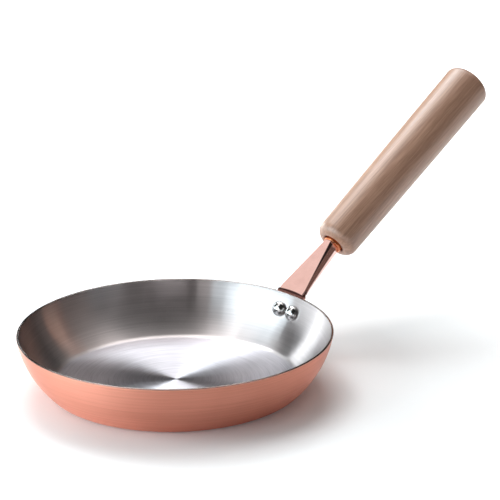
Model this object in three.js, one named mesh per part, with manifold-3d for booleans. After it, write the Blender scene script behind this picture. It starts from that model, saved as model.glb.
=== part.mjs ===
// A small copper pancake pan with a steel lining and a riveted, turned wooden handle.
// Millimetres, +Z up. The pan rests on z = 0 with its axis on z, and the handle points along +X.
import * as THREE from "three";
import { mergeVertices } from "three/addons/utils/BufferGeometryUtils.js";
import Module from "manifold-3d";

const wasm = await Module();
wasm.setup();

// Pan body: a copper layer outside and a steel layer inside, bonded together
const RIM_RADIUS = 92; // outer edge of the rim
const PAN_HEIGHT = 33.2; // resting plane to the cut rim
const BASE_RADIUS = 70.2; // flat underside, out to where the corner starts
const CORNER_RADIUS = 7.5; // outside corner between base and wall
const WALL_ARC_RADIUS = 58; // bulge of the wall, seen in section
const COPPER_THICKNESS = 0.9;
const LINING_THICKNESS = 0.3;
const BOND_GAP = 0.05;

// Two rivets, side by side under the handle
const RIVET_HEAD_DIAMETER = 9.3;
const RIVET_HEAD_HEIGHT = 3.6; // dome inside the pan
const RIVET_TAIL_HEIGHT = 1.8; // flatter dome set on the flange
const RIVET_SHANK_DIAMETER = 5;
const RIVET_HEAD_SPACE = 1.95; // clear space between the two heads
const RIVET_DEPTH = 10.4; // rim down to the rivets
const HOLE_CLEARANCE = 0.2; // around a shank or stud in its hole
const SEAT_GAP = 0.15; // between faces that are clamped together

// Bracket flange, which follows the outside of the wall
const FLANGE_THICKNESS = 2.2;
const FLANGE_RISE = 2.3; // above the rim
const FLANGE_SIDE_MARGIN = 1; // beside the rivet heads
const FLANGE_FOOT_MARGIN = 3.5; // below the rivet heads
const FLANGE_TOP_CORNER = 2.4;
const FLANGE_FOOT_CORNER = 6.5;

// Bracket neck, from a wide thin root to a narrow thick end, along the handle's axis.
// The axis passes through the rim's edge.
const HANDLE_ANGLE = 34.1; // degrees above level
const NECK_LENGTH = 41.6; // rim's edge to the end of the neck
const NECK_STRAIGHT = 4; // rim's edge to where the taper starts
const NECK_ROOT_WIDTH = 19.4; // flat top at the root
const NECK_END_WIDTH = 4.2;
const NECK_ROOT_THICKNESS = 2.9;
const NECK_END_THICKNESS = 10.6;
const NECK_ROOT_CHAMFER = 0.25; // along the top edges
const NECK_END_CHAMFER = 1.6;
const NECK_SWELL = 1.35; // above 1, the neck thickens faster towards its end

// Ferrule, stud and wooden handle
const FERRULE_DIAMETER = 12.4;
const FERRULE_LENGTH = 7;
const FERRULE_SHOW = 1.3; // length left outside the wood
const FERRULE_CLEARANCE = 0.5; // around the ferrule in the wood
const FERRULE_EDGE = 0.4;
const STUD_DIAMETER = 5;
const STUD_IN_NECK = 10;
const STUD_IN_WOOD = 42; // past the ferrule
const STUD_EDGE = 0.6;
const WOOD_LENGTH = 148;
const WOOD_START_DIAMETER = 26.9; // at the neck
const WOOD_MIDDLE_DIAMETER = 28.7;
const WOOD_END_DIAMETER = 29.9; // at the free end
const WOOD_START_ROUND = 6;
const WOOD_END_ROUND = 5.5;
const WOOD_END_CROWN = 0.6; // slight dome of the free end
const WOOD_HOLE_CHAMFER = 0.5;
const WOOD_HOLE_LAND = 0.2; // least width

// Facets
const PAN_SEGMENTS = 72;
const HANDLE_SEGMENTS = 36;
const SMALL_SEGMENTS = 24;
const CORNER_STEPS = 4;
const WALL_STEPS = 6;
const DOME_STEPS = 6;
const ROUND_STEPS = 5;
const NECK_STEPS = 6;
const WOOD_STEPS = 8;

// Sizes that follow from the ones above
const LINING_DEPTH = COPPER_THICKNESS + BOND_GAP; // outside face to the lining
const BODY_THICKNESS = LINING_DEPTH + LINING_THICKNESS;
const RIVET_SPACING = RIVET_HEAD_DIAMETER + RIVET_HEAD_SPACE;
const RIVET_HEIGHT = PAN_HEIGHT - RIVET_DEPTH;
const FLANGE_HALF_WIDTH = (RIVET_SPACING + RIVET_HEAD_DIAMETER) / 2 + FLANGE_SIDE_MARGIN;
const FLANGE_TOP = PAN_HEIGHT + FLANGE_RISE;
const FLANGE_FOOT = RIVET_HEIGHT - RIVET_HEAD_DIAMETER / 2 - FLANGE_FOOT_MARGIN;
const FERRULE_START = NECK_LENGTH + SEAT_GAP;
const WOOD_START = FERRULE_START + FERRULE_SHOW;
const STUD_HOLE_RADIUS = STUD_DIAMETER / 2 + HOLE_CLEARANCE;
const WOOD_MOUTH_RADIUS = FERRULE_DIAMETER / 2 + FERRULE_CLEARANCE;

const MERGE_TOLERANCE = 1e-4;
const UP = new THREE.Vector3(0, 0, 1);

// Frame of the handle: its x runs along the handle's axis from the rim's edge, its z is square to it
const handleFrame = new THREE.Group();
handleFrame.position.set(RIM_RADIUS, 0, PAN_HEIGHT);
handleFrame.rotation.y = -THREE.MathUtils.degToRad(HANDLE_ANGLE);
handleFrame.updateMatrix();

const materials = {
  copper: new THREE.MeshStandardMaterial({ color: 0xc98d78, roughness: 0.35, metalness: 1 }),
  steel: new THREE.MeshStandardMaterial({ color: 0xc4c1bf, roughness: 0.3, metalness: 1 }),
  rivet: new THREE.MeshStandardMaterial({ color: 0xd2d0cf, roughness: 0.12, metalness: 1 }),
  plate: new THREE.MeshStandardMaterial({ color: 0xdba696, roughness: 0.15, metalness: 1 }),
  collar: new THREE.MeshStandardMaterial({ color: 0xd77a46, roughness: 0.2, metalness: 1 }),
  stud: new THREE.MeshStandardMaterial({ color: 0xa3a2a0, roughness: 0.4, metalness: 1 }),
  wood: new THREE.MeshStandardMaterial({ color: 0xa98369, roughness: 0.55, metalness: 0 }),
};

function solid(geometry) {
  const bare = geometry.clone();
  bare.deleteAttribute("normal");
  bare.deleteAttribute("uv");
  const merged = mergeVertices(bare, MERGE_TOLERANCE);
  return new wasm.Manifold(
    new wasm.Mesh({
      numProp: 3,
      vertProperties: merged.attributes.position.array,
      triVerts: new Uint32Array(merged.index.array),
    }),
  );
}

function geometryOf(body) {
  const { vertProperties, triVerts } = body.getMesh();
  const geometry = new THREE.BufferGeometry();
  geometry.setAttribute("position", new THREE.BufferAttribute(vertProperties, 3));
  geometry.setIndex(new THREE.BufferAttribute(triVerts, 1));
  geometry.computeVertexNormals();
  return geometry;
}

function namedMesh(name, geometry, material) {
  const mesh = new THREE.Mesh(geometry, material);
  mesh.name = name;
  return mesh;
}

// Points of an ellipse's arc, both ends included
function arcPoints(centreX, centreY, radiusX, radiusY, fromAngle, toAngle, steps) {
  return Array.from({ length: steps + 1 }, (_, i) => {
    const angle = THREE.MathUtils.lerp(fromAngle, toAngle, i / steps);
    return new THREE.Vector2(centreX + radiusX * Math.cos(angle), centreY + radiusY * Math.sin(angle));
  });
}

// A solid of revolution about z, from points of (radius, z)
function turnedAboutZ(points, segments) {
  return new THREE.LatheGeometry(points, segments).rotateX(Math.PI / 2);
}

// A solid of revolution about x, from points of (radius, x)
function turnedAboutX(points, segments) {
  return new THREE.LatheGeometry(points, segments).rotateZ(-Math.PI / 2);
}

const cornerCentre = new THREE.Vector2(BASE_RADIUS, CORNER_RADIUS);

// Centre of the wall's arc, which runs on smoothly from the corner's arc and ends at the rim's edge
const wallCentre = (() => {
  const toRim = new THREE.Vector2(RIM_RADIUS, PAN_HEIGHT).sub(cornerCentre);
  const distance = toRim.length();
  const fromCorner = WALL_ARC_RADIUS - CORNER_RADIUS;
  const along = (distance ** 2 + fromCorner ** 2 - WALL_ARC_RADIUS ** 2) / (2 * distance);
  const across = Math.sqrt(fromCorner ** 2 - along ** 2);
  const direction = toRim.divideScalar(distance);
  const square = new THREE.Vector2(-direction.y, direction.x);
  return cornerCentre.clone().addScaledVector(direction, along).addScaledVector(square, across);
})();
const cornerEndAngle = cornerCentre.clone().sub(wallCentre).angle() - 2 * Math.PI;

// Section of the pan from the edge of its flat base to the rim, a depth inside its outside face
function wallPoints(depth) {
  const cornerRadius = CORNER_RADIUS - depth;
  const wallRadius = WALL_ARC_RADIUS - depth;
  const rimAngle = Math.asin((PAN_HEIGHT - wallCentre.y) / wallRadius);
  const corner = arcPoints(
    cornerCentre.x,
    cornerCentre.y,
    cornerRadius,
    cornerRadius,
    -Math.PI / 2,
    cornerEndAngle,
    CORNER_STEPS,
  );
  const wall = arcPoints(
    wallCentre.x,
    wallCentre.y,
    wallRadius,
    wallRadius,
    cornerEndAngle,
    rimAngle,
    WALL_STEPS,
  );
  return [...corner, ...wall.slice(1)];
}

// One layer of the pan body, between two depths inside its outside face
function layerGeometry(outerDepth, innerDepth) {
  const profile = [
    new THREE.Vector2(0, outerDepth),
    ...wallPoints(outerDepth),
    ...wallPoints(innerDepth).reverse(),
    new THREE.Vector2(0, innerDepth),
  ];
  return turnedAboutZ(profile, PAN_SEGMENTS);
}

// Everything inside the pan's outside face, with its wall carried straight up from the rim
function fullGeometry(depth, top) {
  const wall = wallPoints(depth);
  const rim = wall.at(-1);
  const profile = [
    new THREE.Vector2(0, depth),
    ...wall,
    new THREE.Vector2(rim.x, top),
    new THREE.Vector2(0, top),
  ];
  return turnedAboutZ(profile, PAN_SEGMENTS);
}

// Frame of a rivet: on the pan's outside face, with z pointing out of it, square to the wall
function rivetFrame(side) {
  const cornerEndHeight = cornerCentre.y + CORNER_RADIUS * Math.sin(cornerEndAngle);
  const onCorner = RIVET_HEIGHT < cornerEndHeight;
  const centre = onCorner ? cornerCentre : wallCentre;
  const radius = onCorner ? CORNER_RADIUS : WALL_ARC_RADIUS;
  const lean = Math.asin((RIVET_HEIGHT - centre.y) / radius);
  const fromAxis = centre.x + radius * Math.cos(lean);
  const turn = side * Math.asin(RIVET_SPACING / 2 / fromAxis);
  const frame = new THREE.Object3D();
  frame.position.set(fromAxis * Math.cos(turn), fromAxis * Math.sin(turn), RIVET_HEIGHT);
  const outward = new THREE.Vector3(
    Math.cos(lean) * Math.cos(turn),
    Math.cos(lean) * Math.sin(turn),
    Math.sin(lean),
  );
  frame.quaternion.setFromUnitVectors(UP, outward);
  frame.updateMatrix();
  return frame;
}

const RIVET_SIDES = { left: 1, right: -1 };

// Both rivet holes, long enough to pass through the body and the flange
function rivetHoles() {
  const radius = RIVET_SHANK_DIAMETER / 2 + HOLE_CLEARANCE;
  const reach = 2 * (BODY_THICKNESS + FLANGE_THICKNESS);
  const holes = Object.values(RIVET_SIDES).map((side) => {
    const profile = [
      new THREE.Vector2(0, -reach),
      new THREE.Vector2(radius, -reach),
      new THREE.Vector2(radius, reach),
      new THREE.Vector2(0, reach),
    ];
    return solid(turnedAboutZ(profile, SMALL_SEGMENTS).applyMatrix4(rivetFrame(side).matrix));
  });
  return holes[0].add(holes[1]);
}

function copperShell() {
  const body = solid(layerGeometry(0, COPPER_THICKNESS)).subtract(rivetHoles());
  return namedMesh("copper_shell", geometryOf(body), materials.copper);
}

function steelLining() {
  const body = solid(layerGeometry(LINING_DEPTH, BODY_THICKNESS)).subtract(rivetHoles());
  return namedMesh("steel_lining", geometryOf(body), materials.steel);
}

// A rivet with a high dome inside the pan and a flatter one on the flange
function rivet(name, side) {
  const headRadius = RIVET_HEAD_DIAMETER / 2;
  const shankRadius = RIVET_SHANK_DIAMETER / 2;
  // The wall is hollow towards the head, so the head's flat seat clears it at its edge
  const tightestCurve = Math.min(WALL_ARC_RADIUS, RIM_RADIUS) - BODY_THICKNESS;
  const hollow = headRadius ** 2 / (2 * tightestCurve);
  const headSeat = -(BODY_THICKNESS + SEAT_GAP + hollow);
  const tailSeat = FLANGE_THICKNESS + 2 * SEAT_GAP;
  const profile = [
    ...arcPoints(0, headSeat, headRadius, RIVET_HEAD_HEIGHT, -Math.PI / 2, 0, DOME_STEPS),
    new THREE.Vector2(shankRadius, headSeat),
    new THREE.Vector2(shankRadius, tailSeat),
    ...arcPoints(0, tailSeat, headRadius, RIVET_TAIL_HEIGHT, 0, Math.PI / 2, DOME_STEPS),
  ];
  profile[0].x = 0;
  profile.at(-1).x = 0;
  const mesh = namedMesh(name, turnedAboutZ(profile, SMALL_SEGMENTS), materials.rivet);
  const frame = rivetFrame(side);
  mesh.position.copy(frame.position);
  mesh.quaternion.copy(frame.quaternion);
  return mesh;
}

// The flange seen along the handle: rounded corners, wide enough for both rivet heads
function flangeOutline() {
  const side = FLANGE_HALF_WIDTH;
  const topCorner = FLANGE_TOP_CORNER;
  const footCorner = FLANGE_FOOT_CORNER;
  const topCentre = FLANGE_TOP - topCorner;
  const footCentre = FLANGE_FOOT + footCorner;
  const shape = new THREE.Shape();
  shape.moveTo(-side + footCorner, FLANGE_FOOT);
  shape.lineTo(side - footCorner, FLANGE_FOOT);
  shape.absarc(side - footCorner, footCentre, footCorner, -Math.PI / 2, 0);
  shape.lineTo(side, topCentre);
  shape.absarc(side - topCorner, topCentre, topCorner, 0, Math.PI / 2);
  shape.lineTo(-side + topCorner, FLANGE_TOP);
  shape.absarc(-side + topCorner, topCentre, topCorner, Math.PI / 2, Math.PI);
  shape.lineTo(-side, footCentre);
  shape.absarc(-side + footCorner, footCentre, footCorner, Math.PI, 1.5 * Math.PI);
  return shape;
}

// A bar along x, from the pan's axis out past the flange, with the flange's outline
function flangeBar() {
  const depth = RIM_RADIUS + 2 * FLANGE_THICKNESS;
  const bar = new THREE.ExtrudeGeometry(flangeOutline(), {
    depth,
    bevelEnabled: false,
    curveSegments: ROUND_STEPS,
  });
  const toWorld = new THREE.Matrix4().makeBasis(
    new THREE.Vector3(0, 1, 0),
    new THREE.Vector3(0, 0, 1),
    new THREE.Vector3(1, 0, 0),
  );
  return bar.applyMatrix4(toWorld);
}

// Eight corners of the neck's section, in the handle's frame. The sides are upright from the
// top chamfers down to the axis, and lean in below it.
function neckSection(along, taper) {
  const swell = taper ** NECK_SWELL;
  const halfWidth = THREE.MathUtils.lerp(NECK_ROOT_WIDTH, NECK_END_WIDTH, taper) / 2;
  const halfThickness = THREE.MathUtils.lerp(NECK_ROOT_THICKNESS, NECK_END_THICKNESS, swell) / 2;
  const chamfer = THREE.MathUtils.lerp(NECK_ROOT_CHAMFER, NECK_END_CHAMFER, swell);
  const half = [
    [halfWidth, -halfThickness],
    [halfWidth + chamfer, 0],
    [halfWidth + chamfer, halfThickness - chamfer],
    [halfWidth, halfThickness],
  ];
  const mirrored = half.map(([across, up]) => [-across, up]).reverse();
  return [...half, ...mirrored].map(([across, up]) => new THREE.Vector3(along, across, up));
}

// A closed solid through sections with the same number of corners
function loftGeometry(sections) {
  const corners = sections[0].length;
  const last = (sections.length - 1) * corners;
  const indices = [];
  for (let i = 0; i < sections.length - 1; i += 1) {
    for (let j = 0; j < corners; j += 1) {
      const a = i * corners + j;
      const b = i * corners + ((j + 1) % corners);
      indices.push(a, b, a + corners, b, b + corners, a + corners);
    }
  }
  for (let j = 1; j < corners - 1; j += 1) {
    indices.push(0, j + 1, j);
    indices.push(last, last + j, last + j + 1);
  }
  const geometry = new THREE.BufferGeometry().setFromPoints(sections.flat());
  geometry.setIndex(indices);
  return geometry;
}

function neckGeometry() {
  // The root reaches back through the flange, and is cut off flush with it
  const sections = [neckSection(-2 * FLANGE_THICKNESS, 0)];
  for (let i = 0; i <= NECK_STEPS; i += 1) {
    const taper = i / NECK_STEPS;
    sections.push(neckSection(THREE.MathUtils.lerp(NECK_STRAIGHT, NECK_LENGTH, taper), taper));
  }
  return loftGeometry(sections);
}

// A round rod about x with chamfered ends
function rodGeometry(radius, start, end, edge) {
  const profile = [
    new THREE.Vector2(0, start),
    new THREE.Vector2(radius - edge, start),
    new THREE.Vector2(radius, start + edge),
    new THREE.Vector2(radius, end - edge),
    new THREE.Vector2(radius - edge, end),
    new THREE.Vector2(0, end),
  ];
  return turnedAboutX(profile, SMALL_SEGMENTS);
}

function handleBracket() {
  const inside = solid(fullGeometry(-SEAT_GAP, FLANGE_TOP + NECK_END_THICKNESS));
  const flangeBody = solid(fullGeometry(-SEAT_GAP - FLANGE_THICKNESS, FLANGE_TOP));
  const flange = flangeBody.intersect(solid(flangeBar()));
  const neck = solid(neckGeometry().applyMatrix4(handleFrame.matrix));
  const holeStart = NECK_LENGTH - STUD_IN_NECK - SEAT_GAP;
  const holeEnd = NECK_LENGTH + STUD_IN_NECK;
  const studHole = rodGeometry(STUD_HOLE_RADIUS, holeStart, holeEnd, STUD_EDGE);
  const body = flange
    .add(neck)
    .subtract(inside)
    .subtract(rivetHoles())
    .subtract(solid(studHole.applyMatrix4(handleFrame.matrix)));
  return namedMesh("handle_bracket", geometryOf(body), materials.plate);
}

function ferrule() {
  const outer = FERRULE_DIAMETER / 2;
  const end = FERRULE_START + FERRULE_LENGTH;
  const profile = [
    new THREE.Vector2(STUD_HOLE_RADIUS, FERRULE_START),
    new THREE.Vector2(outer - FERRULE_EDGE, FERRULE_START),
    new THREE.Vector2(outer, FERRULE_START + FERRULE_EDGE),
    new THREE.Vector2(outer, end),
    new THREE.Vector2(STUD_HOLE_RADIUS, end),
    new THREE.Vector2(STUD_HOLE_RADIUS, FERRULE_START),
  ];
  return namedMesh("ferrule", turnedAboutX(profile, SMALL_SEGMENTS), materials.collar);
}

function tangStud() {
  const start = NECK_LENGTH - STUD_IN_NECK;
  const end = FERRULE_START + FERRULE_LENGTH + STUD_IN_WOOD;
  return namedMesh("tang_stud", rodGeometry(STUD_DIAMETER / 2, start, end, STUD_EDGE), materials.stud);
}

// The rounding at the neck leaves a narrow flat land around the hole's chamfer
const woodStartRound = Math.min(
  WOOD_START_ROUND,
  WOOD_START_DIAMETER / 2 - WOOD_MOUTH_RADIUS - WOOD_HOLE_CHAMFER - WOOD_HOLE_LAND,
);

// The side of the wood, which thickens towards its free end in a gentle curve
function woodSidePoints() {
  const start = WOOD_START + woodStartRound;
  const end = WOOD_START + WOOD_LENGTH - WOOD_END_ROUND;
  const knots = [
    new THREE.Vector2(WOOD_START_DIAMETER / 2, start),
    new THREE.Vector2(WOOD_MIDDLE_DIAMETER / 2, (start + end) / 2),
    new THREE.Vector2(WOOD_END_DIAMETER / 2, end),
  ];
  return new THREE.SplineCurve(knots).getPoints(WOOD_STEPS);
}

function woodHandle() {
  const end = WOOD_START + WOOD_LENGTH;
  const ferruleSeat = FERRULE_START + FERRULE_LENGTH + SEAT_GAP;
  const boreEnd = ferruleSeat + STUD_IN_WOOD;
  const startRound = arcPoints(
    WOOD_START_DIAMETER / 2 - woodStartRound,
    WOOD_START + woodStartRound,
    woodStartRound,
    woodStartRound,
    -Math.PI / 2,
    0,
    ROUND_STEPS,
  );
  const endRound = arcPoints(
    WOOD_END_DIAMETER / 2 - WOOD_END_ROUND,
    end - WOOD_END_ROUND,
    WOOD_END_ROUND,
    WOOD_END_ROUND - WOOD_END_CROWN,
    0,
    Math.PI / 2,
    ROUND_STEPS,
  );
  const profile = [
    new THREE.Vector2(0, boreEnd),
    new THREE.Vector2(STUD_HOLE_RADIUS, boreEnd),
    new THREE.Vector2(STUD_HOLE_RADIUS, ferruleSeat),
    new THREE.Vector2(WOOD_MOUTH_RADIUS, ferruleSeat),
    new THREE.Vector2(WOOD_MOUTH_RADIUS, WOOD_START + WOOD_HOLE_CHAMFER),
    new THREE.Vector2(WOOD_MOUTH_RADIUS + WOOD_HOLE_CHAMFER, WOOD_START),
    ...startRound,
    ...woodSidePoints().slice(1),
    ...endRound.slice(1),
    new THREE.Vector2(0, end),
  ];
  return namedMesh("wood_handle", turnedAboutX(profile, HANDLE_SEGMENTS), materials.wood);
}

const pan = new THREE.Group();
pan.name = "pancake_pan";
pan.add(copperShell(), steelLining(), handleBracket());
for (const [name, side] of Object.entries(RIVET_SIDES)) {
  pan.add(rivet(`rivet_${name}`, side));
}
handleFrame.add(ferrule(), tangStud(), woodHandle());
pan.add(handleFrame);

export default pan;
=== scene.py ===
import math

import bmesh
import bpy
from mathutils import Matrix, Vector


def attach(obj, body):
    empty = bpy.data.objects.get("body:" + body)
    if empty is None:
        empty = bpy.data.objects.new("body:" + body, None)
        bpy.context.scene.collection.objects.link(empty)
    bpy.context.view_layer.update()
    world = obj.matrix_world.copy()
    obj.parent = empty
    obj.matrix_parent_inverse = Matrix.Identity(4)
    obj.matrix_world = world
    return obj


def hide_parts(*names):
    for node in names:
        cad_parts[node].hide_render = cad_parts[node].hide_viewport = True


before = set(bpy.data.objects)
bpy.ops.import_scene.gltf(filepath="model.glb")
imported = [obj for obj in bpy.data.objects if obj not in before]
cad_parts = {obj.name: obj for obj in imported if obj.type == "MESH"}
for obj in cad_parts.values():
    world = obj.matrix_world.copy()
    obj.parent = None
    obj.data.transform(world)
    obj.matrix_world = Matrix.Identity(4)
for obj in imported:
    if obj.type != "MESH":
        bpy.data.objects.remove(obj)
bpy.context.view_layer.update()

# Sizes are in millimetres, in the part's own frame: the pan rests on z = 0 with its axis on z,
# and the handle points along +X. Meshes are built in metres.
MM = 0.001

# Pan body: a copper layer outside and a steel layer inside
RIM_RADIUS = 92
PAN_HEIGHT = 33.2
BASE_RADIUS = 70.2
CORNER_RADIUS = 7.5
WALL_ARC_RADIUS = 58
COPPER_THICKNESS = 0.9
LINING_THICKNESS = 0.3
BOND_GAP = 0.05
RIM_OUTER_ROUND = 0.3  # rounding of the cut rim, outside
RIM_INNER_ROUND = 0.1  # and where copper and steel meet, and inside

# Rivets
RIVET_HEAD_DIAMETER = 9.3
RIVET_HEAD_HEIGHT = 3.6
RIVET_TAIL_HEIGHT = 1.8
RIVET_SHANK_DIAMETER = 5
RIVET_SPACING = 11.25
RIVET_DEPTH = 10.4  # rim down to the rivets
SEAT_GAP = 0.15

# Bracket
FLANGE_THICKNESS = 2.2
FLANGE_HALF_WIDTH = 11.275
FLANGE_RISE = 1.8  # above the rim, up to the neck's top face
FLANGE_FOOT_MARGIN = 3.5  # below the rivet heads
FLANGE_TOP_CORNER = 1.6
FLANGE_FOOT_CORNER = 6.5
HANDLE_ANGLE = 34.1  # degrees above level
NECK_LENGTH = 41.6
NECK_STRAIGHT = 4
NECK_ROOT_WIDTH = 19.4
NECK_END_WIDTH = 4.2
NECK_ROOT_THICKNESS = 2.9
NECK_END_THICKNESS = 10.6
NECK_ROOT_CHAMFER = 0.1
NECK_END_CHAMFER = 1.6
NECK_SWELL = 1.35  # power by which the underside grows along the neck
NECK_CHAMFER_SWELL = 1.7  # and by which the chamfers grow
NECK_SIDE_BULGE = 0.28  # the sides stand out below, as a share of their height
EDGE_BEVEL = 0.18  # softened edges of the bracket

# Ferrule and wooden handle
FERRULE_DIAMETER = 12.4
FERRULE_LENGTH = 7
FERRULE_SHOW = 1.3
FERRULE_CLEARANCE = 0.7
FERRULE_EDGE = 0.4
STUD_HOLE_RADIUS = 2.7
STUD_IN_WOOD = 42
WOOD_LENGTH = 147.96  # the smooth end stays inside the faceted solid's end
WOOD_START_DIAMETER = 26.9
WOOD_MIDDLE_DIAMETER = 28.7
WOOD_END_DIAMETER = 29.9
WOOD_START_ROUND = 6
WOOD_END_ROUND = 5.5
WOOD_END_CROWN = 0.6
WOOD_HOLE_CHAMFER = 0.7

# Smoothness of the meshes
PAN_SEGMENTS = 256
HANDLE_SEGMENTS = 128
SMALL_SEGMENTS = 64
ARC_STEPS = 24
RIM_STEPS = 6
FERRULE_EDGE_STEPS = 6
CROWN_RINGS = 8
FLANGE_COLUMNS = 16
NECK_COLUMNS = 12
BEVEL_SEGMENTS = 3
BEVEL_DEGREES = 14  # the bracket's edges sharper than this are softened
SHARP_DEGREES = 35
BRACKET_SHARP_DEGREES = 9  # its facets meet at low angles

# Noise patterns: scales are per metre, and each span is the part of the noise that shows
NOISE_ROUGHNESS = 0.6
NOISE_SPAN = (0.3, 0.7)

# Brushing of the pan, in circles about a point a little off its axis on the flat bottom, and
# level on the wall
BRUSH_CENTRE = (2.2, 2.6)
BRUSH_TURN = 0.25  # highlights spread across the brushing, a quarter of a turn off its direction
BRUSH_LINE_LENGTH = 90
BRUSH_LINE_DETAIL = 3.0
BRUSH_LINE_SPAN = (0.2, 0.8)
BRUSH_CLOUD_SCALE = 18.0
BRUSH_CLOUD_DETAIL = 2.0
BRUSH_CLOUD_SHARE = 0.3
SWATHE_WIDTH = 0.8  # swathes in which the brushing strays off its circles
SWATHE_LENGTH = 70
SWATHE_DETAIL = 2.0
SWATHE_SPAN = (0.4, 0.6)
WALL_STRAY = 0.01
BOTTOM_LINE_WIDTH = 0.7  # deeper lines on the flat bottom
BOTTOM_LINE_LENGTH = 22
BOTTOM_LINE_SPAN = (0.5, 0.36)
BOTTOM_LINE_SHADE = 0.14
BOTTOM_LINE_ROUGHNESS = 0.03
BOTTOM_METAL = 0.94
WALL_FADE = (0.05, 0.5)  # above the inside of the bottom, where the wall's look takes over
RIM_FADE = (0.5, 0.3)  # below the top, where the rim's polish and its painted shade take over
RIM_ROUGHNESS = 0.16

# Polished metal
POLISH_CLOUD_SCALE = 90.0
POLISH_CLOUD_DETAIL = 3.0
POLISH_MARK_SCALE = 900.0
POLISH_MARK_DETAIL = 2.0
POLISH_MARK_DEPTH = 0.02
DULL_ROUGHNESS = 0.4  # of the flange's face above the rim
DULL_FACE_FADE = (0.5, 0.2)  # out from the face
DULL_SIDE_FADE = (0.1, 0.4)  # out from the sides of the neck's root
DULL_FOOT_FADE = 1  # below the rim
DULL_SHADE_START = 0.4  # above the rim
DULL_SHADE_END = 0.5  # below the flange's top

# Wood, with its grain a little off the handle's axis
WOOD_DARK = (0.29, 0.142, 0.09)
WOOD_LIGHT = (0.565, 0.322, 0.218)
WOOD_PATCH = (0.43, 0.24, 0.15)
WOOD_PATCH_SHARE = 0.3
WOOD_PATCH_SCALE = 22.0
WOOD_PATCH_DETAIL = 2.0
WOOD_GRAIN_LEAN = 2.5  # degrees
WOOD_GRAIN_SPAN = (0.36, 0.64)
WOOD_BAND_SCALE = (8.0, 320.0, 320.0)  # along the handle and across it
WOOD_BAND_DETAIL = 5.0
WOOD_FIBRE_SCALE = (60.0, 1300.0, 1300.0)
WOOD_FIBRE_DETAIL = 3.0
WOOD_FIBRE_SHARE = 0.5
WOOD_FIBRE_BUMP = 0.25
WOOD_FIBRE_DEPTH = 0.05
WOOD_ROUGHNESS = (0.35, 0.46)
WOOD_SHINE = 1.0

# Camera, in a studio frame whose y axis runs from the camera to the pan, level, and whose x axis
# is to the camera's right. The handle stands at an angle to that x axis. Angles are in degrees.
HANDLE_TURN = 39.6
CAMERA_DISTANCE = 1174.8
CAMERA_ELEVATION = 21.943
CAMERA_YAW = 2.190418  # to the right, off the pan's centre
CAMERA_PITCH = 3.762614  # up
CAMERA_ROLL = -1.247
CAMERA_LENS = 144
CAMERA_SENSOR = 36

# White floor, in metres: it has a glow of its own away from the pan, and its dimmest place lies
# a little to the side of the pan
FLOOR_HALF = 4.0
FLOOR_DARK = (0.92, 0.92, 0.92)
FLOOR_LIGHT = (0.94, 0.94, 0.94)
FLOOR_NOISE_SCALE = 3.0
FLOOR_NOISE_DETAIL = 2.0
FLOOR_ROUGHNESS = 0.9
FLOOR_SHINE = 0.1
GLOW_SIDE = 30  # degrees
GLOW_SHIFT = 0.045
NEAR_GLOW = (0.04, 0.4)
NEAR_GLOW_REACH = (0.10, 0.25)
FAR_GLOW = 0.5
FAR_GLOW_REACH = (0.6, 1.8)
WORLD_LEVEL = 0.03

# Lamp panels: the name, the azimuth and elevation of the panel's middle, its width and height as
# seen from the pan, all in degrees, and its level and colour. At level 1 a panel looks just white.
WHITE = (1, 1, 1)
COOL = (0.91, 1.0, 1.03)
KEY_COOL = (0.84, 1.0, 1.07)
WARMISH = (1.0, 0.94, 0.91)
WARM = (1.0, 0.76, 0.68)
COPPERY = (1.0, 0.56, 0.40)
LAMP_DISTANCE = 1.5  # metres from the pan's centre
LAMP_POWER = 4  # watts per square metre at level 1
LAMPS = (
    ("left key", 193, 12, 48, 24, 3.6, KEY_COOL),
    ("left key edge", 222, 12, 12, 24, 2.6, KEY_COOL),
    ("left upper", 198, 33, 48, 18, 1.7, KEY_COOL),
    ("left high", 190, 50, 24, 18, 0.95, WHITE),
    ("front left", 234, 12, 12, 24, 1.9, KEY_COOL),
    ("front left edge", 246, 12, 12, 20, 0.85, WHITE),
    ("front", 268, 7, 16, 12, 0.3, WHITE),
    ("back left", 122, 7, 30, 14, 5.4, COOL),
    ("left gap", 153, 6, 32, 12, 2.5, COOL),
    ("back left upper", 127, 20, 20, 12, 3.3, COOL),
    ("upper left", 140, 46, 16, 12, 0.84, WHITE),
    ("streak", 112, 51, 15, 14, 7.4, COOL),
    ("streak edge", 110, 40, 16, 12, 2.0, COOL),
    ("back", 86, 46, 20, 14, 5.3, COOL),
    ("top back", 90, 62, 36, 16, 2.4, WHITE),
    ("overhead left", 140, 75, 60, 20, 1.35, WHITE),
    ("overhead", 75, 76, 60, 18, 1.0, WHITE),
    ("overhead right", 45, 60, 36, 22, 0.35, WARMISH),
    ("right fill", 28, 48, 60, 28, 0.24, WARMISH),
    ("right side", 10, 14, 60, 20, 0.12, WARM),
    ("right streak", 25, 26, 7, 40, 0.55, COPPERY),
    ("front right", 308, 20, 34, 24, 0.1, WHITE),
)

# Sizes that follow from the ones above
LINING_DEPTH = COPPER_THICKNESS + BOND_GAP
BODY_THICKNESS = LINING_DEPTH + LINING_THICKNESS
RIVET_HEIGHT = PAN_HEIGHT - RIVET_DEPTH
FLANGE_TOP = PAN_HEIGHT + FLANGE_RISE
FLANGE_FOOT = RIVET_HEIGHT - RIVET_HEAD_DIAMETER / 2 - FLANGE_FOOT_MARGIN
FERRULE_START = NECK_LENGTH + SEAT_GAP
WOOD_START = FERRULE_START + FERRULE_SHOW

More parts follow.
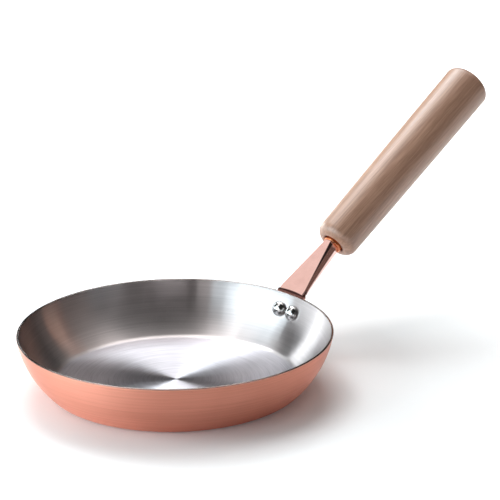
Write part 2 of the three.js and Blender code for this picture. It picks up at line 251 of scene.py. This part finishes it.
# Frames: the part's own, the handle's, with x along its axis from the rim's edge and z square to
# it, and the turn from the studio's frame to the part's
IN_PLACE = Matrix.Identity(4)
handle_frame = Matrix.Translation((RIM_RADIUS * MM, 0, PAN_HEIGHT * MM)) @ Matrix.Rotation(
    -math.radians(HANDLE_ANGLE), 4, "Y"
)
from_studio = Matrix.Rotation(-math.radians(HANDLE_TURN), 4, "Z")


def lerp(start, end, share):
    return start + (end - start) * share


def arc_points(centre, radii, from_angle, to_angle, steps):
    """Points of an ellipse's arc, both ends included, with angles in radians."""
    points = []
    for i in range(steps + 1):
        angle = lerp(from_angle, to_angle, i / steps)
        points.append((centre[0] + radii[0] * math.cos(angle), centre[1] + radii[1] * math.sin(angle)))
    return points


def piece_from(name, points, faces, placed, sharp=SHARP_DEGREES):
    """A mesh object of the part, from points in millimetres, with smooth faces and crisp edges."""
    mesh = bpy.data.meshes.new(name)
    mesh.from_pydata([placed @ (Vector(point) * MM) for point in points], [], faces)
    body = bmesh.new()
    body.from_mesh(mesh)
    bmesh.ops.recalc_face_normals(body, faces=body.faces)
    body.to_mesh(mesh)
    body.free()
    mesh.shade_smooth()
    mesh.set_sharp_from_angle(angle=math.radians(sharp))
    piece = bpy.data.objects.new(name, mesh)
    bpy.context.scene.collection.objects.link(piece)
    return piece


def turned(name, profile, segments, along_x=False, closed=False, placed=IN_PLACE):
    """A turned piece about z, or about x, from points of (radius, place along the axis)."""
    points = []
    rings = []
    for radius, along in profile:
        count = 1 if radius == 0 else segments
        rings.append(range(len(points), len(points) + count))
        for i in range(count):
            turn = 2 * math.pi * i / segments
            across = (radius * math.cos(turn), radius * math.sin(turn))
            points.append((along, *across) if along_x else (*across, along))
    pairs = list(zip(rings, rings[1:]))
    if closed:
        pairs.append((rings[-1], rings[0]))
    faces = []
    for low, high in pairs:
        for i in range(segments):
            j = (i + 1) % segments
            corners = [low[i % len(low)], low[j % len(low)], high[j % len(high)], high[i % len(high)]]
            faces.append(tuple(dict.fromkeys(corners)))
    return piece_from(name, points, faces, placed)


def wall_arc_centre():
    """Centre of the wall's arc, which runs on from the corner's arc and ends at the rim."""
    to_rim = Vector((RIM_RADIUS - BASE_RADIUS, PAN_HEIGHT - CORNER_RADIUS))
    distance = to_rim.length
    from_corner = WALL_ARC_RADIUS - CORNER_RADIUS
    along = (distance**2 + from_corner**2 - WALL_ARC_RADIUS**2) / (2 * distance)
    across = math.sqrt(from_corner**2 - along**2)
    direction = to_rim / distance
    square = Vector((-direction.y, direction.x))
    return Vector((BASE_RADIUS, CORNER_RADIUS)) + direction * along + square * across


WALL_CENTRE = wall_arc_centre()
CORNER_END_ANGLE = math.atan2(CORNER_RADIUS - WALL_CENTRE.y, BASE_RADIUS - WALL_CENTRE.x)


def wall_radius(height, depth):
    """Distance from the pan's axis at a height, a depth inside the outside face."""
    reach = WALL_ARC_RADIUS - depth
    return WALL_CENTRE.x + math.sqrt(reach**2 - (min(height, PAN_HEIGHT) - WALL_CENTRE.y) ** 2)


def section_points(depth):
    """The pan's section from its axis to its rim, a depth inside the outside face."""
    corner_radius = CORNER_RADIUS - depth
    wall_reach = WALL_ARC_RADIUS - depth
    rim_angle = math.asin((PAN_HEIGHT - WALL_CENTRE.y) / wall_reach)
    flat = [(BASE_RADIUS * i / ARC_STEPS, depth) for i in range(ARC_STEPS)]
    corner_centre = (BASE_RADIUS, CORNER_RADIUS)
    corner = arc_points(
        corner_centre, (corner_radius, corner_radius), -math.pi / 2, CORNER_END_ANGLE, ARC_STEPS
    )
    wall = arc_points(WALL_CENTRE, (wall_reach, wall_reach), CORNER_END_ANGLE, rim_angle, ARC_STEPS)
    return flat + corner + wall[1:]


def pan_layer(name, outer_depth, inner_depth):
    """One layer of the pan body, with its cut rim softened at both edges."""
    outer = section_points(outer_depth)
    inner = section_points(inner_depth)
    outer_round = RIM_OUTER_ROUND if outer_depth == 0 else RIM_INNER_ROUND
    inner_round = RIM_INNER_ROUND
    outer_corner = wall_radius(PAN_HEIGHT - outer_round, outer_depth) - outer_round
    inner_corner = wall_radius(PAN_HEIGHT - inner_round, inner_depth) + inner_round
    rim = arc_points(
        (outer_corner, PAN_HEIGHT - outer_round), (outer_round, outer_round), 0, math.pi / 2, RIM_STEPS
    )
    rim += arc_points(
        (inner_corner, PAN_HEIGHT - inner_round), (inner_round, inner_round), math.pi / 2, math.pi, RIM_STEPS
    )
    return turned(name, outer[:-1] + rim + inner[-2::-1], PAN_SEGMENTS)


def rivet(name, side):
    """A rivet square to the wall, with a high dome inside the pan and a flatter one on the flange."""
    lean = math.asin((RIVET_HEIGHT - WALL_CENTRE.y) / WALL_ARC_RADIUS)
    from_axis = wall_radius(RIVET_HEIGHT, 0)
    turn = side * math.asin(RIVET_SPACING / 2 / from_axis)
    placed = (
        Matrix.Rotation(turn, 4, "Z")
        @ Matrix.Translation((from_axis * MM, 0, RIVET_HEIGHT * MM))
        @ Matrix.Rotation(math.pi / 2 - lean, 4, "Y")
    )
    head_radius = RIVET_HEAD_DIAMETER / 2
    shank_radius = RIVET_SHANK_DIAMETER / 2
    hollow = head_radius**2 / (2 * (WALL_ARC_RADIUS - BODY_THICKNESS))
    head_seat = -(BODY_THICKNESS + SEAT_GAP + hollow)
    tail_seat = FLANGE_THICKNESS + 2 * SEAT_GAP
    head = arc_points((0, head_seat), (head_radius, RIVET_HEAD_HEIGHT), -math.pi / 2, 0, ARC_STEPS)
    tail = arc_points((0, tail_seat), (head_radius, RIVET_TAIL_HEIGHT), 0, math.pi / 2, ARC_STEPS)
    shank = [(shank_radius, head_seat), (shank_radius, tail_seat)]
    profile = [(0, head[0][1])] + head[1:] + shank + tail[:-1] + [(0, tail[-1][1])]
    return turned(name, profile, SMALL_SEGMENTS, placed=placed)


def flange_half_width(height):
    """Half the flange's width at a height, with its corners rounded."""
    width = FLANGE_HALF_WIDTH
    for corner, centre in (
        (FLANGE_FOOT_CORNER, FLANGE_FOOT + FLANGE_FOOT_CORNER),
        (FLANGE_TOP_CORNER, FLANGE_TOP - FLANGE_TOP_CORNER),
    ):
        into_corner = centre - height if centre < RIVET_HEIGHT else height - centre
        if into_corner > 0:
            width = FLANGE_HALF_WIDTH - corner + math.sqrt(max(corner**2 - into_corner**2, 0))
    return width


def flange_mesh():
    """Points and faces of the flange, which follows the outside of the wall."""
    turns = [lerp(-math.pi / 2, math.pi / 2, i / (2 * ARC_STEPS)) for i in range(2 * ARC_STEPS + 1)]
    heights = [lerp(FLANGE_FOOT, FLANGE_TOP, (math.sin(turn) + 1) / 2) for turn in turns]
    points = []
    for depth in (-SEAT_GAP, -SEAT_GAP - FLANGE_THICKNESS):
        for height in heights:
            radius = wall_radius(height, depth)
            for i in range(FLANGE_COLUMNS + 1):
                across = flange_half_width(height) * lerp(-1, 1, i / FLANGE_COLUMNS)
                points.append((math.sqrt(radius**2 - across**2), across, height))
    rows = len(heights)
    stride = FLANGE_COLUMNS + 1
    back = rows * stride
    faces = []
    for row in range(rows - 1):
        for column in range(FLANGE_COLUMNS):
            a = row * stride + column
            quad = (a, a + 1, a + stride + 1, a + stride)
            faces.append(quad)
            faces.append(tuple(corner + back for corner in reversed(quad)))
    border = list(range(FLANGE_COLUMNS))
    border += [row * stride + FLANGE_COLUMNS for row in range(rows - 1)]
    border += [(rows - 1) * stride + column for column in range(FLANGE_COLUMNS, 0, -1)]
    border += [row * stride for row in range(rows - 1, 0, -1)]
    for a, b in zip(border, border[1:] + border[:1]):
        faces.append((a, a + back, b + back, b))
    return points, faces


def neck_section(taper, along):
    """Corners (across, up) of the neck's section: its top is flat, its underside swells."""
    half_width = lerp(NECK_ROOT_WIDTH, NECK_END_WIDTH, taper) / 2
    half_thickness = lerp(NECK_ROOT_THICKNESS, NECK_END_THICKNESS, taper**NECK_SWELL) / 2
    top_height = lerp(NECK_ROOT_THICKNESS, NECK_END_THICKNESS, along / NECK_LENGTH) / 2
    chamfer = lerp(NECK_ROOT_CHAMFER, NECK_END_CHAMFER, taper**NECK_CHAMFER_SWELL)
    across = [half_width * lerp(-1, 1, i / NECK_COLUMNS) for i in range(NECK_COLUMNS + 1)]
    bottom = [(y, -half_thickness) for y in across]
    top = [(y, top_height) for y in reversed(across)]
    side = half_width + chamfer
    shoulder = top_height - chamfer
    waist = side + NECK_SIDE_BULGE * shoulder
    right = [(waist, 0), (side, shoulder)]
    left = [(-side, shoulder), (-waist, 0)]
    return bottom + right + top + left


def neck_mesh():
    """Points and faces of the neck, from the flange's inner face to its small end."""
    inner_radius = wall_radius(PAN_HEIGHT, -SEAT_GAP)
    slope = math.radians(HANDLE_ANGLE)
    root = []
    for across, up in neck_section(0, 0):
        level = math.sqrt(inner_radius**2 - across**2) - RIM_RADIUS
        root.append(((level + up * math.sin(slope)) / math.cos(slope), across, up))
    sections = [root]
    for i in range(ARC_STEPS + 1):
        taper = i / ARC_STEPS
        along = lerp(NECK_STRAIGHT, NECK_LENGTH, taper)
        sections.append([(along, across, up) for across, up in neck_section(taper, along)])
    corners = len(root)
    points = [handle_frame @ (Vector(point) * MM) / MM for section in sections for point in section]
    faces = []
    for row in range(len(sections) - 1):
        for i in range(corners):
            a = row * corners + i
            b = row * corners + (i + 1) % corners
            faces.append((a, b, b + corners, a + corners))
    faces.append(tuple(reversed(range(corners))))
    faces.append(tuple(range(len(points) - corners, len(points))))
    return points, faces


def bracket():
    """Flange and neck in one piece, with every edge softened."""
    points, faces = flange_mesh()
    neck_points, neck_faces = neck_mesh()
    start = len(points)
    points += neck_points
    faces += [tuple(corner + start for corner in face) for face in neck_faces]
    piece = piece_from("bracket_plate", points, faces, IN_PLACE, BRACKET_SHARP_DEGREES)
    bevel = piece.modifiers.new("softened edges", "BEVEL")
    bevel.width = EDGE_BEVEL * MM
    bevel.segments = BEVEL_SEGMENTS
    bevel.limit_method = "ANGLE"
    bevel.angle_limit = math.radians(BEVEL_DEGREES)
    bevel.harden_normals = True
    return piece


def ferrule():
    """The ring between the neck and the wood, with a rounded outer edge."""
    outer = FERRULE_DIAMETER / 2
    end = FERRULE_START + FERRULE_LENGTH
    round_edge = arc_points(
        (outer - FERRULE_EDGE, FERRULE_START + FERRULE_EDGE),
        (FERRULE_EDGE, FERRULE_EDGE),
        -math.pi / 2,
        0,
        FERRULE_EDGE_STEPS,
    )
    profile = [(STUD_HOLE_RADIUS, FERRULE_START)] + round_edge + [(outer, end), (STUD_HOLE_RADIUS, end)]
    return turned("ferrule_ring", profile, SMALL_SEGMENTS, along_x=True, closed=True, placed=handle_frame)


def wood_radius(along):
    """Radius of the wood's side: a curve through its start, middle and end sizes."""
    start = WOOD_START + WOOD_START_ROUND
    end = WOOD_START + WOOD_LENGTH - WOOD_END_ROUND
    share = (along - start) / (end - start)
    first = WOOD_START_DIAMETER * (2 * share - 1) * (share - 1)
    middle = WOOD_MIDDLE_DIAMETER * 4 * share * (1 - share)
    last = WOOD_END_DIAMETER * share * (2 * share - 1)
    return (first + middle + last) / 2


def wood_handle():
    """The turned handle, with a hole for the ferrule and the stud and a slightly crowned end."""
    end = WOOD_START + WOOD_LENGTH
    seat = FERRULE_START + FERRULE_LENGTH + SEAT_GAP
    bore_end = seat + STUD_IN_WOOD
    mouth = FERRULE_DIAMETER / 2 + FERRULE_CLEARANCE
    hole = [
        (0, bore_end),
        (STUD_HOLE_RADIUS, bore_end),
        (STUD_HOLE_RADIUS, seat),
        (mouth, seat),
        (mouth, WOOD_START + WOOD_HOLE_CHAMFER),
        (mouth + WOOD_HOLE_CHAMFER, WOOD_START),
    ]
    side_start = WOOD_START + WOOD_START_ROUND
    side_end = end - WOOD_END_ROUND
    start_round = arc_points(
        (WOOD_START_DIAMETER / 2 - WOOD_START_ROUND, side_start),
        (WOOD_START_ROUND, WOOD_START_ROUND),
        -math.pi / 2,
        0,
        ARC_STEPS,
    )
    steps = [lerp(side_start, side_end, i / ARC_STEPS) for i in range(1, ARC_STEPS)]
    side = [(wood_radius(along), along) for along in steps]
    crown_radius = WOOD_END_DIAMETER / 2 - WOOD_END_ROUND
    end_round = arc_points(
        (crown_radius, side_end),
        (WOOD_END_ROUND, WOOD_END_ROUND - WOOD_END_CROWN),
        0,
        math.pi / 2,
        ARC_STEPS,
    )
    crown = []
    for i in range(CROWN_RINGS - 1, -1, -1):
        share = i / CROWN_RINGS
        crown.append((crown_radius * share, end - WOOD_END_CROWN * share**2))
    profile = hole + start_round + side + end_round + crown
    return turned("handle_turning", profile, HANDLE_SEGMENTS, along_x=True, placed=handle_frame)


class Shader:
    """A material's nodes, linked by short calls."""

    def __init__(self, name):
        self.material = bpy.data.materials.new(name)
        self.material.use_nodes = True
        self.tree = self.material.node_tree
        self.surface = self.tree.nodes["Principled BSDF"]

    def node(self, kind, inputs=(), **settings):
        made = self.tree.nodes.new(kind)
        for key, value in settings.items():
            setattr(made, key, value)
        for key, value in dict(inputs).items():
            self.put(made.inputs[key], value)
        return made

    def put(self, socket, value):
        if isinstance(value, bpy.types.NodeSocket):
            self.tree.links.new(value, socket)
        else:
            socket.default_value = value

    def set(self, name, value):
        """Gives an input of the surface a value."""
        self.put(self.surface.inputs[name], value)

    def math(self, operation, first, second):
        return self.node("ShaderNodeMath", {0: first, 1: second}, operation=operation).outputs[0]

    def vector(self, operation, *inputs):
        made = self.node("ShaderNodeVectorMath", dict(enumerate(inputs)), operation=operation)
        return made.outputs["Vector"]

    def scaled(self, vector, scale):
        inputs = {0: vector, "Scale": scale}
        return self.node("ShaderNodeVectorMath", inputs, operation="SCALE").outputs["Vector"]

    def length(self, vector):
        return self.node("ShaderNodeVectorMath", {0: vector}, operation="LENGTH").outputs["Value"]

    def mapped(self, vector, **inputs):
        """A place turned or stretched."""
        return self.node("ShaderNodeMapping", {"Vector": vector, **inputs}).outputs["Vector"]

    def noise(self, vector, scale, detail):
        inputs = {"Vector": vector, "Scale": scale, "Detail": detail, "Roughness": NOISE_ROUGHNESS}
        return self.node("ShaderNodeTexNoise", inputs).outputs["Fac"]

    def blend(self, share, low, high):
        """A colour between two, by a share from 0 to 1."""
        made = self.node("ShaderNodeMix", data_type="RGBA")
        self.put(made.inputs["Factor"], share)
        self.put(made.inputs["A"], (*low, 1) if isinstance(low, tuple) else low)
        self.put(made.inputs["B"], (*high, 1) if isinstance(high, tuple) else high)
        return made.outputs["Result"]

    def mix(self, share, low, high):
        """A number between two, by a share from 0 to 1."""
        return self.node("ShaderNodeMix", {"Factor": share, "A": low, "B": high}).outputs["Result"]

    def span(self, value, low, high, to_low=0.0, to_high=1.0):
        """A value mapped from one range to another, kept inside it."""
        inputs = {"Value": value, "From Min": low, "From Max": high, "To Min": to_low, "To Max": to_high}
        return self.node("ShaderNodeMapRange", inputs).outputs["Result"]

    def bump(self, height, strength, distance):
        inputs = {"Height": height, "Strength": strength, "Distance": distance * MM}
        self.set("Normal", self.node("ShaderNodeBump", inputs).outputs["Normal"])

    def place(self):
        """Place on the object, in metres."""
        return self.node("ShaderNodeTexCoord").outputs["Object"]

    def axes(self, vector):
        return self.node("ShaderNodeSeparateXYZ", {"Vector": vector}).outputs

    def from_axis(self, vector):
        """Distance from the upright axis."""
        x, y, _ = self.axes(vector)
        squares = self.math("ADD", self.math("MULTIPLY", x, x), self.math("MULTIPLY", y, y))
        return self.math("POWER", squares, 0.5)


def brushed_metal(
    name,
    dark,
    light,
    rim_painted_shade,
    roughness,
    anisotropy,
    line_width,
    bottom_roughness,
    bottom_stray,
    bottom_tint,
):
    """Brushed metal with fine broken lines, a flat bottom that differs a little and a polished rim, darkened
    with painted shade.
    """
    shader = Shader(name)
    place = shader.vector("SUBTRACT", shader.place(), Vector((*BRUSH_CENTRE, 0)) * MM)
    axes = shader.axes(place)
    height = axes["Z"]
    up_the_wall = shader.span(height, *((BODY_THICKNESS + above) * MM for above in WALL_FADE))
    rim = shader.span(height, *((PAN_HEIGHT - below) * MM for below in RIM_FADE))
    section = shader.mix(up_the_wall, shader.from_axis(place), height)

    def streaks(width, length, detail):
        stretched = {
            "X": shader.math("DIVIDE", axes["X"], length * MM),
            "Y": shader.math("DIVIDE", axes["Y"], length * MM),
            "Z": shader.math("DIVIDE", section, width * MM),
        }
        return shader.noise(shader.node("ShaderNodeCombineXYZ", stretched).outputs["Vector"], 1.0, detail)

    lines = streaks(line_width, BRUSH_LINE_LENGTH, BRUSH_LINE_DETAIL)
    swathes = streaks(SWATHE_WIDTH, SWATHE_LENGTH, SWATHE_DETAIL)
    bottom_lines = streaks(BOTTOM_LINE_WIDTH, BOTTOM_LINE_LENGTH, BRUSH_LINE_DETAIL)
    on_bottom = shader.math("SUBTRACT", 1.0, up_the_wall)
    deep = shader.math("MULTIPLY", shader.span(bottom_lines, *BOTTOM_LINE_SPAN), on_bottom)

    cloud = shader.noise(place, BRUSH_CLOUD_SCALE, BRUSH_CLOUD_DETAIL)
    fine_tone = shader.span(lines, *BRUSH_LINE_SPAN)
    tone = shader.mix(BRUSH_CLOUD_SHARE, fine_tone, shader.span(cloud, *NOISE_SPAN))
    tint = shader.blend(up_the_wall, bottom_tint, WHITE)
    colour = shader.vector("MULTIPLY", shader.blend(tone, dark, light), tint)
    colour = shader.blend(shader.math("MULTIPLY", deep, BOTTOM_LINE_SHADE), colour, (0, 0, 0))
    # Painted shade: the rim takes a darker colour than the metal, for the dark look of the cut edge
    shader.set("Base Color", shader.blend(rim, colour, rim_painted_shade))

    brushed = shader.mix(up_the_wall, bottom_roughness, roughness)
    brushed = shader.math("ADD", brushed, shader.math("MULTIPLY", deep, BOTTOM_LINE_ROUGHNESS))
    shader.set("Roughness", shader.mix(rim, brushed, RIM_ROUGHNESS))
    shader.set("Metallic", shader.mix(up_the_wall, BOTTOM_METAL, 1.0))

    shader.set("Anisotropic", anisotropy)
    shader.set("Anisotropic Rotation", BRUSH_TURN)
    round_centre = shader.vector("NORMALIZE", shader.vector("CROSS_PRODUCT", Vector((0, 0, 1)), place))
    normal = shader.node("ShaderNodeNewGeometry").outputs["Normal"]
    across = shader.vector("CROSS_PRODUCT", normal, round_centre)
    stray = shader.mix(up_the_wall, bottom_stray, WALL_STRAY)
    off_true = shader.math("MULTIPLY", shader.span(swathes, *SWATHE_SPAN, -1.0, 1.0), stray)
    shader.set("Tangent", shader.vector("ADD", round_centre, shader.scaled(across, off_true)))
    return shader.material


def polished_metal(name, dark, light, roughness, marks, dull_face=None):
    """Polished metal with faint clouding and fine handling marks. A dull face is a pair of colours,
    at its foot and its top, for the bracket where it faces the pan's rim."""
    shader = Shader(name)
    place = shader.place()
    cloud = shader.noise(place, POLISH_CLOUD_SCALE, POLISH_CLOUD_DETAIL)
    colour = shader.blend(shader.span(cloud, *NOISE_SPAN), dark, light)
    fine = shader.noise(place, POLISH_MARK_SCALE, POLISH_MARK_DETAIL)
    polish = shader.span(fine, *NOISE_SPAN, *roughness)
    if dull_face:
        face = wall_radius(PAN_HEIGHT, -SEAT_GAP)
        axes = shader.axes(place)
        near_rim = shader.span(shader.from_axis(place), *((face + out) * MM for out in DULL_FACE_FADE))
        aside = shader.math("ABSOLUTE", axes["Y"], 0.0)
        beside_neck = shader.span(aside, *((NECK_ROOT_WIDTH / 2 + out) * MM for out in DULL_SIDE_FADE))
        above_rim = shader.span(axes["Z"], (PAN_HEIGHT - DULL_FOOT_FADE) * MM, PAN_HEIGHT * MM)
        dull = shader.math("MULTIPLY", shader.math("MAXIMUM", near_rim, beside_neck), above_rim)
        shade_start = (PAN_HEIGHT + DULL_SHADE_START) * MM
        shade_end = (FLANGE_TOP - DULL_SHADE_END) * MM
        up_the_face = shader.span(axes["Z"], shade_start, shade_end)
        colour = shader.blend(dull, colour, shader.blend(up_the_face, *dull_face))
        polish = shader.mix(dull, polish, DULL_ROUGHNESS)
    shader.set("Base Color", colour)
    shader.set("Roughness", polish)
    shader.set("Metallic", 1.0)
    shader.bump(fine, marks, POLISH_MARK_DEPTH)
    return shader.material


def turned_wood(name):
    """Light brown wood with fine straight grain along the handle, under a satin varnish."""
    shader = Shader(name)
    grain_turn = (0.0, math.radians(HANDLE_ANGLE), math.radians(WOOD_GRAIN_LEAN))
    place = shader.mapped(shader.place(), Rotation=grain_turn)
    bands = shader.noise(shader.mapped(place, Scale=WOOD_BAND_SCALE), 1.0, WOOD_BAND_DETAIL)
    fibres = shader.noise(shader.mapped(place, Scale=WOOD_FIBRE_SCALE), 1.0, WOOD_FIBRE_DETAIL)
    patches = shader.noise(place, WOOD_PATCH_SCALE, WOOD_PATCH_DETAIL)
    grain = shader.mix(WOOD_FIBRE_SHARE, bands, fibres)
    colour = shader.blend(shader.span(grain, *WOOD_GRAIN_SPAN), WOOD_DARK, WOOD_LIGHT)
    in_patch = shader.span(patches, *NOISE_SPAN, 0.0, WOOD_PATCH_SHARE)
    shader.set("Base Color", shader.blend(in_patch, colour, WOOD_PATCH))
    shader.set("Roughness", shader.span(fibres, *NOISE_SPAN, *WOOD_ROUGHNESS))
    shader.set("Specular IOR Level", WOOD_SHINE)
    shader.bump(fibres, WOOD_FIBRE_BUMP, WOOD_FIBRE_DEPTH)
    return shader.material


copper_outside = brushed_metal(
    "copper outside",
    dark=(0.63, 0.249, 0.172),
    light=(0.845, 0.366, 0.269),
    # dark greyish brown rather than copper: painted shade on the cut rim
    rim_painted_shade=(0.30, 0.19, 0.16),
    roughness=0.46,
    anisotropy=0.90,
    line_width=1.2,
    bottom_roughness=0.46,
    bottom_stray=0.03,
    bottom_tint=WHITE,
)
steel_inside = brushed_metal(
    "steel inside",
    dark=(0.475, 0.435, 0.431),
    light=(0.68, 0.623, 0.616),
    rim_painted_shade=(0.50, 0.46, 0.44),
    roughness=0.28,
    anisotropy=1.0,
    line_width=0.9,
    bottom_roughness=0.36,
    bottom_stray=0.06,
    bottom_tint=(0.98, 1.01, 1.08),
)
rivet_steel = polished_metal(
    "rivet steel", dark=(0.56, 0.55, 0.54), light=(0.62, 0.61, 0.60), roughness=(0.03, 0.06), marks=0.05
)
copper_plate = polished_metal(
    "copper plate",
    dark=(0.75, 0.46, 0.40),
    light=(0.81, 0.51, 0.45),
    roughness=(0.08, 0.13),
    marks=0.05,
    dull_face=((0.30, 0.14, 0.115), (0.07, 0.025, 0.02)),
)
# Painted shade and painted reflection: the collar's copper is darkened and deepened to orange, as it looks
# in the wood's hole among copper surfaces
copper_collar = polished_metal(
    "copper collar with painted shade", dark=(0.62, 0.21, 0.085), light=(0.70, 0.26, 0.115), roughness=(0.18, 0.26), marks=0.05
)
stud_steel = polished_metal(
    "stud steel", dark=(0.36, 0.36, 0.35), light=(0.42, 0.42, 0.41), roughness=(0.35, 0.45), marks=0.1
)
handle_wood = turned_wood("handle wood")

PIECES = (
    (pan_layer("shell_copper", 0, COPPER_THICKNESS), "copper_shell", "copper_outside", copper_outside),
    (pan_layer("lining_steel", LINING_DEPTH, BODY_THICKNESS), "steel_lining", "steel_inside", steel_inside),
    (rivet("rivet_dome_left", 1), "rivet_left", "rivet_steel", rivet_steel),
    (rivet("rivet_dome_right", -1), "rivet_right", "rivet_steel", rivet_steel),
    (bracket(), "handle_bracket", "copper_plate", copper_plate),
    (ferrule(), "ferrule", "copper_collar", copper_collar),
    (wood_handle(), "wood_handle", "handle_wood", handle_wood),
)
for piece, node, slot, material in PIECES:
    piece.data.materials.append(material)
    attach(piece, "root")
    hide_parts(node)

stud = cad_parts["tang_stud"]
stud.data.materials.clear()
stud.data.materials.append(stud_steel)


def studio_direction(azimuth, elevation):
    """A direction from the pan, with azimuth 0 to the camera's right and 90 behind the pan."""
    turn = math.radians(azimuth)
    rise = math.radians(elevation)
    level = math.cos(rise)
    return Vector((level * math.cos(turn), level * math.sin(turn), math.sin(rise)))


def make_camera():
    """The camera in front of the pan, turned a little off the pan's centre."""
    data = bpy.data.cameras.new("camera")
    data.lens = CAMERA_LENS
    data.sensor_width = CAMERA_SENSOR
    camera = bpy.data.objects.new("camera", data)
    bpy.context.scene.collection.objects.link(camera)
    level = Matrix.Rotation(math.pi / 2 - math.radians(CAMERA_ELEVATION), 4, "X")
    aim = (
        Matrix.Rotation(-math.radians(CAMERA_YAW), 4, "Y")
        @ Matrix.Rotation(math.radians(CAMERA_PITCH), 4, "X")
        @ Matrix.Rotation(math.radians(CAMERA_ROLL), 4, "Z")
    )
    place = studio_direction(-90, CAMERA_ELEVATION) * (CAMERA_DISTANCE * MM)
    camera.matrix_world = from_studio @ Matrix.Translation(place) @ level @ aim
    bpy.context.scene.camera = camera


def lamp_panel(name, azimuth, elevation, wide, high, level, colour):
    """A soft rectangular lamp that faces the pan, with its size as angles seen from the pan."""
    data = bpy.data.lights.new(name, "AREA")
    data.shape = "RECTANGLE"
    data.size = 2 * LAMP_DISTANCE * math.tan(math.radians(wide / 2))
    data.size_y = 2 * LAMP_DISTANCE * math.tan(math.radians(high / 2))
    data.energy = LAMP_POWER * level * data.size * data.size_y
    data.color = colour
    lamp = bpy.data.objects.new(name, data)
    bpy.context.scene.collection.objects.link(lamp)
    direction = from_studio @ studio_direction(azimuth, elevation)
    facing = direction.to_track_quat("Z", "Y").to_matrix().to_4x4()
    lamp.matrix_world = Matrix.Translation(direction * LAMP_DISTANCE) @ facing


def make_floor():
    """A plain white floor that stays in its own light near the pan and turns quite white away from it."""
    half = FLOOR_HALF
    points = [(-half, -half, 0), (half, -half, 0), (half, half, 0), (-half, half, 0)]
    mesh = bpy.data.meshes.new("floor")
    mesh.from_pydata(points, [], [(0, 1, 2, 3)])
    floor = bpy.data.objects.new("floor", mesh)
    bpy.context.scene.collection.objects.link(floor)
    shader = Shader("floor")
    place = shader.place()
    faint = shader.noise(place, FLOOR_NOISE_SCALE, FLOOR_NOISE_DETAIL)
    shader.set("Base Color", shader.blend(shader.span(faint, *NOISE_SPAN), FLOOR_DARK, FLOOR_LIGHT))
    shader.set("Roughness", FLOOR_ROUGHNESS)
    shader.set("Specular IOR Level", FLOOR_SHINE)
    dimmest = from_studio @ studio_direction(GLOW_SIDE, 0) * GLOW_SHIFT
    away = shader.length(shader.vector("SUBTRACT", place, dimmest))
    near = shader.span(away, *NEAR_GLOW_REACH, *NEAR_GLOW)
    far = shader.span(away, *FAR_GLOW_REACH, 0.0, FAR_GLOW)
    rays = shader.node("ShaderNodeLightPath").outputs
    seen = shader.math("ADD", rays["Is Camera Ray"], rays["Is Glossy Ray"])
    seen = shader.math("ADD", seen, rays["Is Transmission Ray"])
    shader.set("Emission Color", (*WHITE, 1))
    shader.set("Emission Strength", shader.math("MULTIPLY", shader.math("ADD", near, far), seen))
    mesh.materials.append(shader.material)


def make_world():
    """A very dim white surrounding."""
    world = bpy.data.worlds.new("studio")
    world.use_nodes = True
    bpy.context.scene.world = world
    background = world.node_tree.nodes["Background"]
    background.inputs["Color"].default_value = (*WHITE, 1)
    background.inputs["Strength"].default_value = WORLD_LEVEL


make_camera()
make_floor()
make_world()
for lamp in LAMPS:
    lamp_panel(*lamp)

bpy.context.scene.view_settings.view_transform = "Standard"
